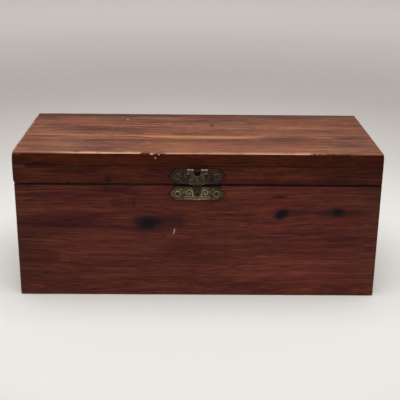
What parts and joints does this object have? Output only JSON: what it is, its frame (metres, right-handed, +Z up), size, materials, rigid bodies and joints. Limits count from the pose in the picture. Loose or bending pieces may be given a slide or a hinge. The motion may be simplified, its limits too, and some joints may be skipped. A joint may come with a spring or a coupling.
{
  "type": "keepsake box",
  "caption": "Hinged cedar keepsake box: plain rectangular case, shallow lid that folds back on rear hinges, stamped brass hasp that snaps over a stud.",
  "frame": {"origin": "centre of the case's footprint, on the surface that the box stands on", "axes": "+X to the right along the front, +Y from the front to the hinges, +Z up"},
  "size_m": [0.2165, 0.101, 0.0905],
  "materials": {
    "case_cedar": "thin worn satin stain and shellac, reddish brown, knotty red cedar; bare inside",
    "lid_cedar": "thin worn satin stain and shellac, warm brown with pale sapwood streaks; bare inside",
    "clasp_brass": "stamped brass, darkened with age, dull olive brown with rubbed high spots",
    "clasp_nail_brass": "darkened brass nail heads and pin",
    "hinge_brass": "plain stamped brass, dull with age",
    "hinge_nail_brass": "brass nail heads and pins, dull with age"
  },
  "bodies": {
    "case": {"bottom_board": "case_cedar", "front_board": "case_cedar", "back_board": "case_cedar", "left_board": "case_cedar", "right_board": "case_cedar", "strike_plate": "clasp_brass", "strike_nails": "clasp_nail_brass", "left_hinge_case_leaf": "hinge_brass", "right_hinge_case_leaf": "hinge_brass", "left_hinge_pin": "hinge_nail_brass", "right_hinge_pin": "hinge_nail_brass", "case_hinge_nails": "hinge_nail_brass"},
    "lid": {"lid_top_board": "lid_cedar", "lid_front_rail": "lid_cedar", "lid_back_rail": "lid_cedar", "lid_left_rail": "lid_cedar", "lid_right_rail": "lid_cedar", "clasp_plate": "clasp_brass", "clasp_nails": "clasp_nail_brass", "clasp_pin": "clasp_nail_brass", "left_hinge_lid_leaf": "hinge_brass", "right_hinge_lid_leaf": "hinge_brass", "lid_hinge_nails": "hinge_nail_brass"},
    "hasp": {"hasp": "clasp_brass"}
  },
  "joints": [
    {"name": "lid_hinge", "type": "hinge", "parent": "case", "child": "lid", "pos_m": [0, 0.04915, 0.07147], "axis": [-1, 0, 0], "range_deg": [0, 180]},
    {"name": "hasp_hinge", "type": "hinge", "parent": "lid", "child": "hasp", "pos_m": [-0.0008, -0.04915, 0.0805], "axis": [-1, 0, 0], "range_deg": [-4, 180]}
  ]
}
